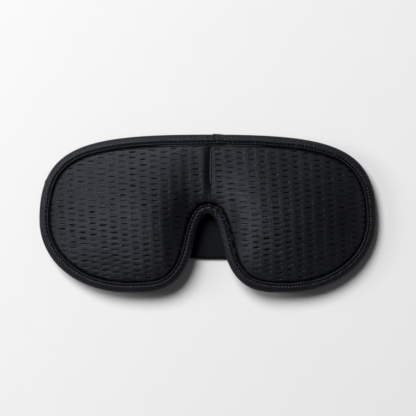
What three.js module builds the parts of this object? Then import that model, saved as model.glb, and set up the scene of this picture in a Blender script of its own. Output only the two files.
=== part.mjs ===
// A contoured sleep eye mask lying face up, with its two elastic straps folded under it.
// Millimetres. +X runs along the mask's width, +Y towards the forehead, +Z out of the front.
// The origin is the middle of the mask's box, on the surface that it lies on.
// "left" and "right" are as seen from the front: left is -X.
//
// The mask is two padded cups joined at a centre seam above the nose notch. Each cup is a fabric
// cover, a moulded foam core with an eye hollow, and a lining, bound together round the edge by a
// folded tape. Each strap is sewn on behind its side edge and closes with a hook-and-loop patch.

import * as THREE from "three";

// ---- Driving dimensions ----
const MASK_HALF_WIDTH = 107;
const MASK_TOP = 49.6;
const MASK_BOTTOM = -50.3;
const NOTCH_TOP = -0.3;
const CUP_CENTRE = new THREE.Vector2(52, 1);

const EDGE_HEIGHT = 6.4; // middle of the bound edge above the table, at the two sides
const ARCH = 5.5; // how much higher the middle of the mask stands than its sides
const CUP_HEIGHT = 12; // dome of a cup above the bound edge
const CUP_ROUNDNESS = 2.2; // power of the dome's falling curve
const SADDLE_HEIGHT = 3; // between the cups, above the bound edge
const SEAM_DIP = 1; // how far the centre seam is pulled in below the saddle
const SEAM_ALLOWANCE = 3; // from the centre seam to where the dome starts
const SEAM_GAP = 0.2; // from the middle plane to each half's side of the seam

const FABRIC = 0.6; // cover, lining and binding tape
const FOAM_EDGE = 1.8; // foam pressed flat under the binding
const GAP = 0.3; // between neighbouring layers
const HOLLOW_DEPTH = 9; // eye hollow behind each cup
const HOLLOW_INNER = 0.45; // shares of the way from the cup's centre to the binding:
const HOLLOW_OUTER = 0.8; // the hollow is full inside the first and ends at the second
const PAD_BULGE = 1.5; // padded ring that rests on the face

const BINDING_WIDTH = 6.6; // from the outer edge to the tape's inner fold
const COVER_INSET = 3; // cover, foam and lining end this far inside the outer edge
const LAP_START = 2.5; // the tape's finished end overlaps its start just right of the seam
const LAP_END = 9;
const LAP_WIDTH = 4.9; // its sides end just short of the row of stitches
const LAP_GAP = 0.2;
const LAP_FABRIC = 0.5;

const THREAD_RADIUS = 0.2;
const THREAD_GAP = 0.1; // between a thread and the fabric that it lies on
const STITCH_LINE = 5.6; // from the outer edge to the row of stitches

const STRAP_WIDTH = 30;
const STRAP_THICKNESS = 1.2;
const SEWN_LENGTH = 11;
const FOLD_GAP = 0.7; // between the sewn end and the strap folded under it
const FOLD_CLEARANCE = 0.2; // the strap and its sewn end stop this far short of the fold line
// Each strap folds under its sewn end along a line through x, y, tilted from the Y axis. It leaves
// the fold at twice that tilt.
const LEFT_FOLD = { x: -104.2, y: 6, inward: 1, tilt: THREE.MathUtils.degToRad(7) };
const RIGHT_FOLD = { x: 100.3, y: 9, inward: -1, tilt: THREE.MathUtils.degToRad(2.9) };

const PATCH_THICKNESS = 0.9;
const PATCH_GAP = 0.2;
const PATCH_WIDTH = 25;
const PATCH_END_MARGIN = 2;
const LOOP_PATCH_LENGTH = 62;
const HOOK_PATCH_LENGTH = 38;

// ---- Derived sizes ----
const STACK_HALF = FABRIC + GAP + FOAM_EDGE / 2; // from the edge's middle plane to the cover
const BINDING_HALF = STACK_HALF + GAP + FABRIC;
const PATCH_LIFT = PATCH_THICKNESS + PATCH_GAP; // a strap over its patch lies this high
const HOOK_PATCH_Z = STRAP_THICKNESS + PATCH_GAP;
const HOOK_STITCH_Z = HOOK_PATCH_Z + PATCH_THICKNESS + THREAD_GAP + THREAD_RADIUS;
const LOOP_STITCH_Z = PATCH_LIFT + STRAP_THICKNESS + THREAD_GAP + THREAD_RADIUS;

// ---- Materials ----
function cloth(name, colour, roughness) {
  return new THREE.MeshStandardMaterial({ name, color: colour, roughness, metalness: 0 });
}
const coverFabric = cloth("cover_fabric", 0x26282c, 0.75);
const liningFabric = cloth("lining_fabric", 0x1c1d20, 0.85);
const foam = cloth("foam", 0x2c2d30, 0.95);
const bindingTape = cloth("binding_tape", 0x1f2226, 0.7);
const thread = cloth("thread", 0x121316, 0.6);
const elastic = cloth("elastic", 0x17191c, 0.8);
const hookTape = cloth("hook_tape", 0x141517, 0.65);
const loopTape = cloth("loop_tape", 0x1b1c1f, 0.95);

// ---- Outline of the right half, from the top of the centre seam round to the top of the notch ----
const OUTLINE = [
  { to: [0, MASK_TOP] },
  { by: [76, MASK_TOP, MASK_HALF_WIDTH, 44], to: [MASK_HALF_WIDTH, -4], steps: 12 },
  { by: [MASK_HALF_WIDTH, -32, 81, MASK_BOTTOM], to: [51, MASK_BOTTOM], steps: 10 },
  { by: [37.5, MASK_BOTTOM, 17.5, -52.5], to: [10.3, -24], steps: 10 },
  { by: [7.4, -12.2, 5.2, NOTCH_TOP], to: [0, NOTCH_TOP], steps: 7 },
];

// The outline's points, each with its normal pointing into the cup.
function outlineStations() {
  const stations = [];
  OUTLINE.slice(1).forEach(({ by, to, steps }, index) => {
    const start = new THREE.Vector2(...OUTLINE[index].to);
    const [ax, ay, bx, by2] = by;
    const curve = new THREE.CubicBezierCurve(
      start, new THREE.Vector2(ax, ay), new THREE.Vector2(bx, by2), new THREE.Vector2(...to),
    );
    for (let i = index ? 1 : 0; i <= steps; i++) {
      const tangent = curve.getTangent(i / steps);
      stations.push({
        point: curve.getPoint(i / steps),
        inward: new THREE.Vector2(tangent.y, -tangent.x),
      });
    }
  });
  return stations;
}
const STATIONS = outlineStations();

// A point that distance inside the outline, and no nearer the middle plane than keepOff.
function inside(station, distance, keepOff = SEAM_GAP) {
  const p = station.point.clone().addScaledVector(station.inward, distance);
  p.x = Math.max(p.x, keepOff);
  return p;
}

// ---- Heights ----
function edgePlane(x) {
  return EDGE_HEIGHT + ARCH * (1 - (x / MASK_HALF_WIDTH) ** 2);
}

function smoothStep(from, to, value) {
  const t = THREE.MathUtils.clamp((value - from) / (to - from), 0, 1);
  return t * t * (3 - 2 * t);
}

// ---- The cup's border: the outline, then the centre seam from the notch up to the top ----
const SEAM_STEPS = 6;
const SEAM_MARGIN = 1; // the seam's height starts to change this far past the binding

function cupBorder(edgeInset) {
  const border = STATIONS.map((s) => ({
    seat: inside(s, BINDING_WIDTH, SEAM_ALLOWANCE),
    edge: inside(s, edgeInset),
    seamShare: 0,
  }));
  const top = border[0].seat.y - SEAM_MARGIN;
  const bottom = border[border.length - 1].seat.y + SEAM_MARGIN;
  for (let i = 0; i <= SEAM_STEPS; i++) {
    const y = THREE.MathUtils.lerp(bottom, top, i / SEAM_STEPS);
    border.push({
      seat: new THREE.Vector2(SEAM_ALLOWANCE, y),
      edge: new THREE.Vector2(SEAM_GAP, y),
      seamShare: Math.sin((Math.PI * i) / SEAM_STEPS),
    });
  }
  return border;
}

// Front and back of the padding at a share of the way from the cup's centre to the binding's
// inner edge. Past the binding's inner edge the share is over 1, and the padding is pressed flat.
function frontRise(share, seamShare) {
  const saddle = SADDLE_HEIGHT * seamShare;
  if (share > 1) return saddle - SEAM_DIP * seamShare;
  return saddle + (CUP_HEIGHT - saddle) * (1 - share ** CUP_ROUNDNESS);
}

function backRise(share, seamShare) {
  if (share > 1) return seamShare;
  const hollow = HOLLOW_DEPTH * (1 - smoothStep(HOLLOW_INNER, HOLLOW_OUTER, share));
  const ring = Math.sin(Math.PI * smoothStep(HOLLOW_INNER, 1, share)) ** 2;
  return seamShare * share ** 4 + hollow - PAD_BULGE * ring;
}

const RING_SHARES = [0.28, 0.5, 0.66, 0.83, 1];

// One face of a layer, as rings of points from the cup's centre out to the layer's edge.
function faceRings(border, rise, offset) {
  const rings = RING_SHARES.map((share) =>
    border.map(({ seat, seamShare }) => {
      const p = CUP_CENTRE.clone().lerp(seat, share);
      return new THREE.Vector3(p.x, p.y, edgePlane(p.x) + offset + rise(share, seamShare));
    }),
  );
  rings.push(
    border.map(({ edge, seamShare }) =>
      new THREE.Vector3(edge.x, edge.y, edgePlane(edge.x) + offset + rise(2, seamShare)),
    ),
  );
  return rings;
}

function facePole(rise, offset) {
  const { x, y } = CUP_CENTRE;
  return new THREE.Vector3(x, y, edgePlane(x) + offset + rise(0, 0));
}

// ---- Skins ----
// One closed skin over equal rings of points. Each end is a pole, or the ring's own flat triangles.
// The second half's squares are cut the other way, so that both faces of a layer crease alike.
function skin(rings, { poles = null, cap = null }) {
  const count = rings[0].length;
  const points = rings.flat();
  const faces = [];
  for (let r = 0; r + 1 < rings.length; r++) {
    for (let i = 0; i < count; i++) {
      const j = (i + 1) % count;
      const [a, b] = [r * count + i, r * count + j];
      const [c, d] = [a + count, b + count];
      if (2 * r < rings.length) faces.push(a, c, b, b, c, d);
      else faces.push(a, c, d, a, d, b);
    }
  }
  const lastRing = (rings.length - 1) * count;
  if (poles) {
    points.push(...poles);
    for (let i = 0; i < count; i++) {
      const j = (i + 1) % count;
      faces.push(points.length - 2, i, j);
      faces.push(points.length - 1, lastRing + j, lastRing + i);
    }
  }
  if (cap) {
    for (const [a, b, c] of cap) {
      faces.push(a, b, c, lastRing + c, lastRing + b, lastRing + a);
    }
  }
  return closedGeometry(points, faces);
}

// The geometry of those faces, turned to point outwards.
function closedGeometry(points, faces) {
  let volume = 0;
  for (let i = 0; i < faces.length; i += 3) {
    const [a, b, c] = [points[faces[i]], points[faces[i + 1]], points[faces[i + 2]]];
    volume += a.dot(b.clone().cross(c));
  }
  if (volume < 0) faces.reverse();
  const geometry = new THREE.BufferGeometry().setFromPoints(points);
  geometry.setIndex(faces);
  geometry.computeVertexNormals();
  return geometry;
}

// ---- Cup layers ----
function layer(front, back) {
  const border = cupBorder(COVER_INSET);
  const rings = [
    ...faceRings(border, front.rise, front.offset),
    ...faceRings(border, back.rise, back.offset).reverse(),
  ];
  const poles = [facePole(front.rise, front.offset), facePole(back.rise, back.offset)];
  return skin(rings, { poles });
}

function frontCover() {
  return layer(
    { rise: frontRise, offset: STACK_HALF },
    { rise: frontRise, offset: STACK_HALF - FABRIC },
  );
}

function foamCup() {
  return layer(
    { rise: frontRise, offset: FOAM_EDGE / 2 },
    { rise: backRise, offset: -FOAM_EDGE / 2 },
  );
}

function innerLining() {
  return layer(
    { rise: backRise, offset: FABRIC - STACK_HALF },
    { rise: backRise, offset: -STACK_HALF },
  );
}

// ---- Binding tape, folded round the edge ----
// The folded tape's section: how far in from the outer edge, and how far off the middle plane.
function tapeSection(outerInset, halfHeight, fabric, width) {
  const innerInset = outerInset + fabric;
  const innerHalf = halfHeight - fabric;
  const rounded = halfHeight * 0.6;
  return [
    [width, halfHeight],
    [outerInset + rounded * 0.75, halfHeight],
    [outerInset, rounded * 0.6],
    [outerInset, -rounded * 0.6],
    [outerInset + rounded * 0.75, -halfHeight],
    [width, -halfHeight],
    [width, -innerHalf],
    [innerInset + rounded * 0.6, -innerHalf],
    [innerInset, -rounded * 0.4],
    [innerInset, rounded * 0.4],
    [innerInset + rounded * 0.6, innerHalf],
    [width, innerHalf],
  ];
}

function foldedTape(section, stations) {
  const rings = stations.map((s) =>
    section.map(([inset, height]) => {
      const p = inside(s, inset);
      return new THREE.Vector3(p.x, p.y, edgePlane(p.x) + height);
    }),
  );
  const outline = section.map(([x, y]) => new THREE.Vector2(x, y));
  return skin(rings, { cap: THREE.ShapeUtils.triangulateShape(outline, []) });
}

function edgeBinding() {
  return foldedTape(tapeSection(0, BINDING_HALF, FABRIC, BINDING_WIDTH), STATIONS);
}

// The tape's finished end, folded over its start on the top edge.
function bindingLap() {
  const stations = [LAP_START, (LAP_START + LAP_END) / 2, LAP_END].map((x) => ({
    point: new THREE.Vector2(x, MASK_TOP),
    inward: new THREE.Vector2(0, -1),
  }));
  const reach = LAP_GAP + LAP_FABRIC;
  return foldedTape(tapeSection(-reach, BINDING_HALF + reach, LAP_FABRIC, LAP_WIDTH), stations);
}

// ---- Thread ----
const SQUARE_CAP = [[0, 1, 2], [0, 2, 3]];

// A thread through those points, square in section. A closed one runs back to its start.
function threadThrough(points, closed = false) {
  const last = points.length - 1;
  const rings = points.map((p, i) => {
    const before = i > 0 ? points[i - 1] : points[closed ? last : 0];
    const after = i < last ? points[i + 1] : points[closed ? 0 : last];
    const along = after.clone().sub(before);
    const side = new THREE.Vector3(-along.y, along.x, 0).setLength(THREAD_RADIUS);
    const up = new THREE.Vector3(0, 0, THREAD_RADIUS);
    return [
      p.clone().add(side).add(up),
      p.clone().sub(side).add(up),
      p.clone().sub(side).sub(up),
      p.clone().add(side).sub(up),
    ];
  });
  return closed ? closedLoop(rings) : skin(rings, { cap: SQUARE_CAP });
}

// A closed skin round a loop of rings that has no ends.
function closedLoop(rings) {
  const count = rings[0].length;
  const faces = [];
  rings.forEach((_, r) => {
    const next = ((r + 1) % rings.length) * count;
    for (let i = 0; i < count; i++) {
      const j = (i + 1) % count;
      const [a, b] = [r * count + i, r * count + j];
      faces.push(a, next + i, b, b, next + i, next + j);
    }
  });
  return closedGeometry(rings.flat(), faces);
}

// The row of stitches that holds the binding, on its front or its back.
function bindingStitch(facing) {
  const height = BINDING_HALF + THREAD_GAP + THREAD_RADIUS;
  const points = STATIONS.map((s) => {
    const p = inside(s, STITCH_LINE, SEAM_GAP + THREAD_RADIUS);
    return new THREE.Vector3(p.x, p.y, edgePlane(p.x) + facing * height);
  });
  return threadThrough(points);
}

// The seam that joins the two covers, lying in the dip above the nose notch.
function centreSeamThread() {
  const top = MASK_TOP - BINDING_WIDTH - 2;
  const bottom = NOTCH_TOP + BINDING_WIDTH + 2;
  const steps = 6;
  const points = Array.from({ length: steps + 1 }, (_, i) => {
    const y = THREE.MathUtils.lerp(bottom, top, i / steps);
    const share = Math.sin((Math.PI * (y - NOTCH_TOP)) / (MASK_TOP - NOTCH_TOP));
    const lift = (SADDLE_HEIGHT - SEAM_DIP) * share + STACK_HALF + 2 * GAP + THREAD_RADIUS;
    return new THREE.Vector3(-2 * SEAM_GAP - THREAD_RADIUS, y, edgePlane(0) + lift);
  });
  return threadThrough(points);
}

// ---- Straps ----
// A flat band of constant width: its middle line is [x, y, z] at the band's underside. Its start
// is cut square, or turned by that angle to lie along a fold.
function band(middleLine, { width = STRAP_WIDTH, thickness = STRAP_THICKNESS, steps, turn = 0 }) {
  const curve = new THREE.CatmullRomCurve3(middleLine.map((p) => new THREE.Vector3(...p)));
  const rings = Array.from({ length: steps + 1 }, (_, i) => {
    const at = curve.getPointAt(i / steps);
    const along = curve.getTangentAt(i / steps);
    const side = new THREE.Vector3(-along.y, along.x, 0).setLength(width / 2);
    if (i === 0 && turn) {
      side.applyAxisAngle(new THREE.Vector3(0, 0, 1), turn).divideScalar(Math.cos(turn));
    }
    const up = new THREE.Vector3(0, 0, thickness);
    return [
      at.clone().sub(side),
      at.clone().add(side),
      at.clone().add(side).add(up),
      at.clone().sub(side).add(up),
    ];
  });
  return skin(rings, { cap: SQUARE_CAP });
}

// A point on the line along which a strap leaves its fold.
function fromFold({ x, y, inward, tilt }, distance, z = 0) {
  const direction = -inward * 2 * tilt;
  return [x + inward * distance * Math.cos(direction), y + distance * Math.sin(direction), z];
}

// The left strap is the long one. It passes under the notch and carries the loop patch.
const LEFT_STRAP_LINE = [
  fromFold(LEFT_FOLD, FOLD_CLEARANCE),
  fromFold(LEFT_FOLD, 28),
  fromFold(LEFT_FOLD, 56),
  [-28, -11.9, 0],
  [-8, -14, 0],
  [14, -14.4, PATCH_LIFT],
  [46, -17, PATCH_LIFT],
  [80, -21.5, PATCH_LIFT],
];

// The right strap is the short one. It carries the hook patch on top.
const RIGHT_STRAP_LINE = [
  fromFold(RIGHT_FOLD, FOLD_CLEARANCE),
  fromFold(RIGHT_FOLD, 50),
  fromFold(RIGHT_FOLD, 98),
];

// The last stretch of a strap's middle line, ending short of its free end, at one height.
function endStretch(strapLine, length, endMargin, z) {
  const curve = new THREE.CatmullRomCurve3(strapLine.map(([x, y]) => new THREE.Vector3(x, y, 0)));
  const total = curve.getLength();
  return [1, 0.75, 0.5, 0.25, 0].map((share) => {
    const p = curve.getPointAt((total - endMargin - share * length) / total);
    return [p.x, p.y, z];
  });
}

function patch(strapLine, length, z) {
  const line = endStretch(strapLine, length, PATCH_END_MARGIN, z);
  return band(line, { width: PATCH_WIDTH, thickness: PATCH_THICKNESS, steps: 4 });
}

// A loop of thread round a patch, just inside its edge.
function patchStitch(strapLine, length, z) {
  const inset = 1.5;
  const line = endStretch(strapLine, length - 2 * inset, PATCH_END_MARGIN + inset, z);
  const reach = PATCH_WIDTH / 2 - inset;
  const row = (side) => line.map(([x, y]) => new THREE.Vector3(x, y + side * reach, z));
  return threadThrough([...row(1), ...row(-1).reverse()], true);
}

// The middle line of a strap's sewn end, under the binding's back, from the fold inwards.
function sewnLine({ x, y, inward }) {
  return [FOLD_CLEARANCE, SEWN_LENGTH / 2, SEWN_LENGTH].map((distance) => {
    const at = x + inward * distance;
    return [at, y, STRAP_THICKNESS + FOLD_GAP + edgePlane(at) - edgePlane(LEFT_FOLD.x)];
  });
}

function sewnEnd(fold) {
  return band(sewnLine(fold), { steps: 4, turn: -fold.tilt });
}

// The box of stitches through a strap's sewn end, on its underside.
function sewnEndTack(fold) {
  const margin = 2;
  const reach = STRAP_WIDTH / 2 - margin;
  const drop = THREAD_RADIUS + THREAD_GAP;
  const [outer, , inner] = sewnLine(fold).map(([x, y, z]) => new THREE.Vector3(x, y, z - drop));
  const ends = [0.25, 0.85].map((share) => outer.clone().lerp(inner, share));
  const row = (side) => ends.map((p) => p.clone().add(new THREE.Vector3(0, side * reach, 0)));
  return threadThrough([...row(1), ...row(-1).reverse()], true);
}

// ---- Assembly ----
const mask = new THREE.Group();

function mirrored(geometry) {
  const copy = geometry.clone();
  copy.scale(-1, 1, 1);
  copy.setIndex([...copy.index.array].reverse());
  return copy;
}

function add(name, geometry, material) {
  const mesh = new THREE.Mesh(geometry, material);
  mesh.name = name;
  mask.add(mesh);
}

// A piece of the right half, and its mirror image on the left.
function addPair(name, geometry, material) {
  add(`${name}_right`, geometry, material);
  add(`${name}_left`, mirrored(geometry), material);
}

addPair("front_cover", frontCover(), coverFabric);
addPair("foam_cup", foamCup(), foam);
addPair("inner_lining", innerLining(), liningFabric);
addPair("edge_binding", edgeBinding(), bindingTape);
add("binding_lap", bindingLap(), bindingTape);
addPair("binding_stitch_front", bindingStitch(1), thread);
addPair("binding_stitch_back", bindingStitch(-1), thread);
add("centre_seam_thread", centreSeamThread(), thread);

add("strap_sewn_end_left", sewnEnd(LEFT_FOLD), elastic);
add("strap_tack_left", sewnEndTack(LEFT_FOLD), thread);
add("strap_left", band(LEFT_STRAP_LINE, { steps: 24, turn: LEFT_FOLD.tilt }), elastic);
add("loop_patch", patch(LEFT_STRAP_LINE, LOOP_PATCH_LENGTH, 0), loopTape);
add("loop_patch_stitch", patchStitch(LEFT_STRAP_LINE, LOOP_PATCH_LENGTH, LOOP_STITCH_Z), thread);

add("strap_sewn_end_right", sewnEnd(RIGHT_FOLD), elastic);
add("strap_tack_right", sewnEndTack(RIGHT_FOLD), thread);
add("strap_right", band(RIGHT_STRAP_LINE, { steps: 8, turn: RIGHT_FOLD.tilt }), elastic);
add("hook_patch", patch(RIGHT_STRAP_LINE, HOOK_PATCH_LENGTH, HOOK_PATCH_Z), hookTape);
add("hook_patch_stitch", patchStitch(RIGHT_STRAP_LINE, HOOK_PATCH_LENGTH, HOOK_STITCH_Z), thread);

export default mask;
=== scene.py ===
# A contoured sleep eye mask: two padded cups of slit-knit fabric in a bound edge, lying face up
# on its folded elastic straps. All shapes are worked out in millimetres, in the CAD's frame, and
# made in metres.

import math

import bpy
import numpy as np
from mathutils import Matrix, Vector


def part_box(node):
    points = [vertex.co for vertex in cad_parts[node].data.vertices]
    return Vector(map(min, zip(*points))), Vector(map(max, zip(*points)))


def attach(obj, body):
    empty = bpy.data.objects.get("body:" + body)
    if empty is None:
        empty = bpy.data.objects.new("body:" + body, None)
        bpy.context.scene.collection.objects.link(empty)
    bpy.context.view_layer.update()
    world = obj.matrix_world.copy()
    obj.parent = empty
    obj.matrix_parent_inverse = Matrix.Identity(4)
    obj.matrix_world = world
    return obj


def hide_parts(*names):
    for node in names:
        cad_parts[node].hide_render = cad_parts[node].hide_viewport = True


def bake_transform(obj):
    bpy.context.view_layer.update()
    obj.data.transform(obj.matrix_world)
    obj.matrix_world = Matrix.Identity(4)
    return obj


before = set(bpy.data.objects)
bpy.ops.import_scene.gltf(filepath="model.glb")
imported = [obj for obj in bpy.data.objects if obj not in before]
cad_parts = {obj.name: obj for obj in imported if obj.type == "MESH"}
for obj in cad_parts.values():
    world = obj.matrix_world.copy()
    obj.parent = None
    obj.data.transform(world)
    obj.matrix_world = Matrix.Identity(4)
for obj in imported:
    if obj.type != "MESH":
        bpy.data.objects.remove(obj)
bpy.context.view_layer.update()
MM = 0.001


def cad_box_mm(node):
    """The CAD node's lowest and highest corners, in millimetres."""
    low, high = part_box(node)
    return np.array(low) / MM, np.array(high) / MM


# ---- The mask's shape, as in the CAD ----
HALF_WIDTH = cad_box_mm("edge_binding_right")[1][0]
MASK_TOP = cad_box_mm("edge_binding_right")[1][1]
MASK_BOTTOM = cad_box_mm("edge_binding_right")[0][1]
NOTCH_TOP = -0.3  # the Y of the nose notch's top
EDGE_HEIGHT = 6.4  # middle of the bound edge above the table, at the two sides
ARCH = 5.5  # how much higher the middle stands than the sides
CUP_HEIGHT = 12.0
CUP_START = 1.8  # how far inside the binding the cups' rise has set in fully
TOP_TO_NOSE = 8.0  # how far each cup's top is drawn towards the nose
SADDLE_SHARE = 0.35  # close to the middle, a point's rise is that of one this much nearer to it
CENTRE_DIP = 0.2  # share of the height lost at the middle
STEEPNESS = 0.84  # power of the dome's rise: smaller is quicker at the edge and flatter on top
NOSE_STEEPNESS = 0.4  # how much smaller that power is at the nose
EYE_LINE = 5.0  # the Y along which the cups are fullest
STACK_HALF = 1.8  # from the edge's middle plane to the cover, under the binding
BINDING_HALF = 2.75  # half the bound edge's thickness
BINDING_WIDTH = 6.3
TUCK_DEPTH = 0.7  # the cover's crease beside the binding
HOLLOW_DEPTH = 9.0  # the eye hollows, behind
PAD_BULGE = 1.5  # how far the padded rings round them stand out
HALF_OUTLINE = (
    ((0, MASK_TOP), (76, MASK_TOP), (HALF_WIDTH, 44), (HALF_WIDTH, -4)),
    ((HALF_WIDTH, -4), (HALF_WIDTH, -32), (81, MASK_BOTTOM), (51, MASK_BOTTOM)),
    ((51, MASK_BOTTOM), (37.5, MASK_BOTTOM), (17.5, -52.5), (10.3, -24)),
    ((10.3, -24), (7.4, -12.2), (5.2, NOTCH_TOP), (0, NOTCH_TOP)),
)

# ---- The centre seam ----
SEAM_AT = (1.5, 1.8)  # its X at the notch and at the top
SEAM_DEPTH = 2.7
SEAM_SLOPE = 4.8  # width of the tuck on its gentle left side
SEAM_LIP = 0.8  # and on its steep right side

# ---- Stitches ----
STITCH_INSET = 4.65
STITCH_LENGTH = 2.3
STITCH_PITCH = 2.9
SEAM_STITCH_LENGTH = 1.9
SEAM_STITCH_PITCH = 2.4
THREAD_RADIUS = 0.24
STITCH_SIDES = 8  # points round a stitch
STITCH_RINGS = 9  # rings along a stitch

THREAD_STAND = 0.05  # how far a row's line stands off the cloth
TAPE_THREAD_STAND = 0.12  # the same on the binding

# ---- The binding's tape ----
TAPE_INSETS = np.array(
    [0, 0.08, 0.3, 0.7, 1.2, 1.8, 2.5, 3.2, 3.75, 4.1, 4.38, 4.65, 4.92, 5.2, 5.5, 5.75, 6.0, 6.18, 6.3]
)
TAPE_INSIDE = ((6.25, 1.98), (5.0, 1.98), (3.0, 1.75), (1.8, 1.1), (1.2, 0))  # (inset, height)
TAPE_ROUND = 5.6  # how far in the tape's face keeps rising from the edge
TAPE_ROLL = 1.8  # power of the rolled edge's curve: 2 is an ellipse
LAP_GROW = ((4.0, 6.5, 11.0), (0.5, 0.45, 0.1))  # at these X, the lap is this much thicker
LAP_SLANT = 0.35  # how far the lap slides along the edge for each millimetre further in

# ---- The cover's slits, in columns that lean a little; each lobe is cut from its own cloth ----
LEFT_LOBE = {"column_at": -59.1, "column_pitch": 6.66, "row_at": -5.4, "row_pitch": 3.55}
RIGHT_LOBE = {"column_at": 43.0, "column_pitch": 6.9, "row_at": 6.9, "row_pitch": 3.44}
COLUMN_SHIFT = 0.34  # of a row, down, from each column to the next on its right
SLIT_LEAN = math.tan(math.radians(2.7))
SLIT_HALF_LENGTH = 1.95
SLIT_HALF_WIDTH = 0.29
SLIT_DEPTH = 0.6
# How much each slit may differ: its shift is in millimetres, its tilt a slope, the rest are shares.
SLIT_VARIES = {"length": 0.14, "width": 0.25, "shift": 0.12, "tilt": 0.05, "wear": 0.3}
SLITS_EACH_WAY = 64  # before the differences repeat
SLIT_VARIETY = np.random.default_rng(12).uniform(-1, 1, (5, SLITS_EACH_WAY, SLITS_EACH_WAY))
RIB_HEIGHT = 0.13
COLUMN_DIP = 0.12  # how far the slit columns lie below the smooth bands between them
COVER_STEP = (0.45, 0.2)  # the cover's mesh, across and along the columns
FINE_STEP = 0.16  # across, beside the centre seam
FINE_LINES = 12  # of them on each side
COVER_REACH = 2.4  # cover and lining end this far inside the outer edge
LINING_STEP = 0.8

# ---- The foam pads ----
PAD_REACH = 3.0  # the pads end this far inside the outer edge
PAD_STEP = 2.0
PAD_UNDER_COVER = 1.0
PAD_OVER_LINING = 0.9

# ---- Straps and their closure ----
STRAP_WIDTH = 30.0
STRAP_THICKNESS = 1.2
SEWN_LENGTH = 11.0
FOLD_RUN = 8.0  # how far past the fold's line the folded rows of points go
FOLD_STEP = 0.35
FREE_FROM = 9.5  # where along its own line the free part's rows begin
PATCH_WIDTH = 25.0
PATCH_LIFT = 1.1  # how much higher a strap lies over its patch
PATCH_END_MARGIN = 2.0
PATCH_STITCH_INSET = 1.5
PATCH_CORNER = 1.5
LOOP_LENGTH = 62.0
LOOP_THICKNESS = 0.55
LOOP_MIDDLE = 0.3  # how far the loop patch's middle surface lies below its top
LOOP_STEP = 0.4
HOOK_LENGTH = 38.0
HOOK_BASE = 0.45  # thickness of the tape that carries the hooks
HOOK_PITCH = (1.7, 1.45)  # along the tape and across it
HOOK_PATH = ((0, -0.1), (0, 0.22), (0.05, 0.4), (0.2, 0.5), (0.36, 0.44), (0.4, 0.3))
HOOK_RADIUS = (0.12, 0.1, 0.09, 0.08, 0.07, 0.05)  # at the path's points, which are (ahead, up)
TACK_INSET = 2.0  # from the strap's sides to its tack stitches
LEFT_FOLD = {"x": -104.2, "y": 6.0, "inward": 1, "tilt": math.radians(7), "radius": 0.95}
RIGHT_FOLD = {"x": 100.3, "y": 9.0, "inward": -1, "tilt": math.radians(2.9), "radius": 1.14}


# ---- Small numeric helpers ----
def smooth(low, high, value):
    """0 below low and 1 above high, with an S-shaped rise between."""
    t = np.clip((value - low) / (high - low), 0, 1)
    return t * t * (3 - 2 * t)


def bell(value, width):
    """1 at 0, falling away to 0 on both sides."""
    return np.exp(-((value / width) ** 2))


def edge_plane(x):
    """The height of the bound edge's middle plane, which arches over the nose."""
    return EDGE_HEIGHT + ARCH * (1 - (x / HALF_WIDTH) ** 2)


def bezier(p0, p1, p2, p3, steps):
    t = np.linspace(0, 1, steps, endpoint=False)[:, None]
    p0, p1, p2, p3 = (np.array(p, float) for p in (p0, p1, p2, p3))
    return (1 - t) ** 3 * p0 + 3 * t * (1 - t) ** 2 * p1 + 3 * t**2 * (1 - t) * p2 + t**3 * p3


def run_along(line):
    """How far along the line each of its points is."""
    return np.concatenate([[0], np.cumsum(np.linalg.norm(np.diff(line, axis=0), axis=1))])


def points_at(line, at, run):
    """The line's points at those distances, where run is how far along it its own points are."""
    return np.stack([np.interp(at, run, line[:, k]) for k in range(line.shape[1])], axis=1)


def resampled(line, step, closed=False):
    """The line with points at equal steps along it."""
    path = np.vstack([line, line[:1]]) if closed else line
    run = run_along(path)
    count = max(2, round(run[-1] / step))
    at = np.linspace(0, run[-1], count + 1)
    if closed:
        at = at[:-1]
    return points_at(path, at, run)


def tangents(line, closed=False):
    if closed:
        along = np.roll(line, -1, axis=0) - np.roll(line, 1, axis=0)
    else:
        along = np.gradient(line, axis=0)
    return along / np.linalg.norm(along, axis=1)[:, None]


def leftwards(line):
    """At each of the line's points, the direction a quarter turn to the left of its own."""
    return tangents(line) @ np.array([[0, 1], [-1, 0]])


def catmull(points, per_span=24):
    """A smooth line through those points."""
    p = np.array(points, float)
    p = np.vstack([2 * p[0] - p[1], p, 2 * p[-1] - p[-2]])
    spans = []
    t = np.linspace(0, 1, per_span, endpoint=False)[:, None]
    for a, b, c, d in zip(p, p[1:], p[2:], p[3:]):
        bend, twist = 2 * a - 5 * b + 4 * c - d, 3 * b - a - 3 * c + d
        spans.append(0.5 * (2 * b + (c - a) * t + bend * t**2 + twist * t**3))
    return np.vstack([*spans, p[-2:-1]])


def ripple(x, y, size, seed):
    """Smooth irregular waves between -1 and 1, about that size across."""
    rng = np.random.default_rng(seed)
    total = np.zeros_like(np.asarray(x, float) + np.asarray(y, float))
    for _ in range(6):
        angle, phase = rng.uniform(0, 2 * math.pi, 2)
        length = size * rng.uniform(0.7, 1.6)
        total += np.sin(2 * math.pi * (x * math.cos(angle) + y * math.sin(angle)) / length + phase)
    return total / 3


# ---- The outline, and fields on a fine grid over the mask ----
def full_outline():
    """The whole edge, clockwise from the top of the centre, with normals pointing inwards."""
    right = np.vstack([bezier(*span, 200) for span in HALF_OUTLINE] + [[[0, NOTCH_TOP]]])
    left = right[-2:0:-1] * (-1, 1)
    line = resampled(np.vstack([right, left]), 0.6, closed=True)
    along = tangents(line, closed=True)
    return line, np.stack([along[:, 1], -along[:, 0]], axis=1)


EDGE, EDGE_INWARD = full_outline()
GRID_STEP = 1.0
GRID_X = np.arange(-110, 110 + GRID_STEP, GRID_STEP)
GRID_Y = np.arange(-54, 54 + GRID_STEP, GRID_STEP)


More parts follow.
